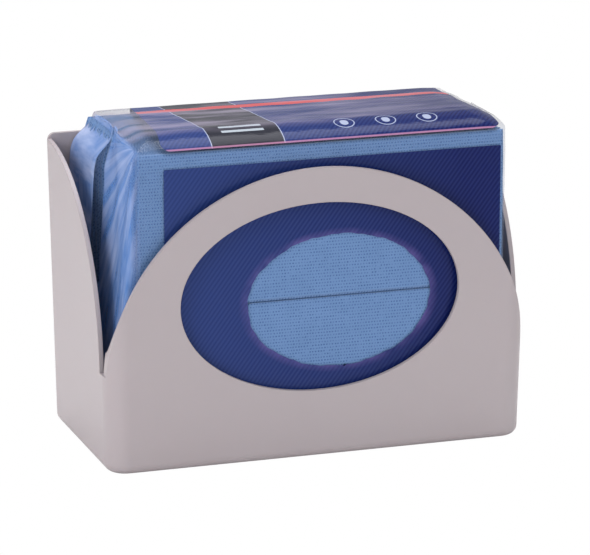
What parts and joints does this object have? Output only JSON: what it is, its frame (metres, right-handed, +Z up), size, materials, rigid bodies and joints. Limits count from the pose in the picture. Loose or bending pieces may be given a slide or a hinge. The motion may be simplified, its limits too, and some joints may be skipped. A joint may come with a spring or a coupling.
{
  "type": "wipe dispenser",
  "caption": "Wipe dispenser: open-topped moulded holder with an arched front, an oval window and swept sides, carrying a film-wrapped refill of folded cloths.",
  "frame": {"origin": "centre of the footprint, on the surface the holder stands on", "axes": "+X to the right seen from the front, the front faces -Y and the flat mounting back faces +Y, +Z up"},
  "size_m": [0.2876, 0.1368, 0.2155],
  "materials": {
    "holder_plastic": "satin",
    "printed_film": "gloss",
    "wipe_cloth": "matte"
  },
  "bodies": {
    "holder": {"holder": "holder_plastic"},
    "refill": {"film_wrapper": "printed_film", "wipe_01": "wipe_cloth", "wipe_02": "wipe_cloth", "wipe_03": "wipe_cloth", "wipe_04": "wipe_cloth", "wipe_05": "wipe_cloth", "wipe_06": "wipe_cloth", "wipe_07": "wipe_cloth", "wipe_08": "wipe_cloth", "wipe_09": "wipe_cloth", "wipe_10": "wipe_cloth", "wipe_11": "wipe_cloth", "wipe_12": "wipe_cloth", "wipe_13": "wipe_cloth", "wipe_14": "wipe_cloth", "wipe_15": "wipe_cloth", "wipe_16": "wipe_cloth", "wipe_17": "wipe_cloth", "wipe_18": "wipe_cloth", "wipe_19": "wipe_cloth", "wipe_20": "wipe_cloth", "wipe_21": "wipe_cloth", "wipe_22": "wipe_cloth", "wipe_23": "wipe_cloth", "wipe_24": "wipe_cloth", "wipe_25": "wipe_cloth", "wipe_26": "wipe_cloth", "wipe_27": "wipe_cloth", "wipe_28": "wipe_cloth", "wipe_29": "wipe_cloth", "wipe_30": "wipe_cloth", "wipe_31": "wipe_cloth", "wipe_32": "wipe_cloth", "wipe_33": "wipe_cloth", "wipe_34": "wipe_cloth", "wipe_35": "wipe_cloth", "wipe_36": "wipe_cloth", "wipe_37": "wipe_cloth", "wipe_38": "wipe_cloth", "wipe_39": "wipe_cloth", "wipe_40": "wipe_cloth", "wipe_41": "wipe_cloth", "wipe_42": "wipe_cloth", "wipe_43": "wipe_cloth", "wipe_44": "wipe_cloth", "wipe_45": "wipe_cloth", "wipe_46": "wipe_cloth", "wipe_47": "wipe_cloth", "wipe_48": "wipe_cloth", "wipe_49": "wipe_cloth", "wipe_50": "wipe_cloth"}
  },
  "joints": [
    {"name": "refill_lift", "type": "slide", "parent": "holder", "child": "refill", "axis": [0, 0, 1], "range_m": [0, 0.2]}
  ]
}
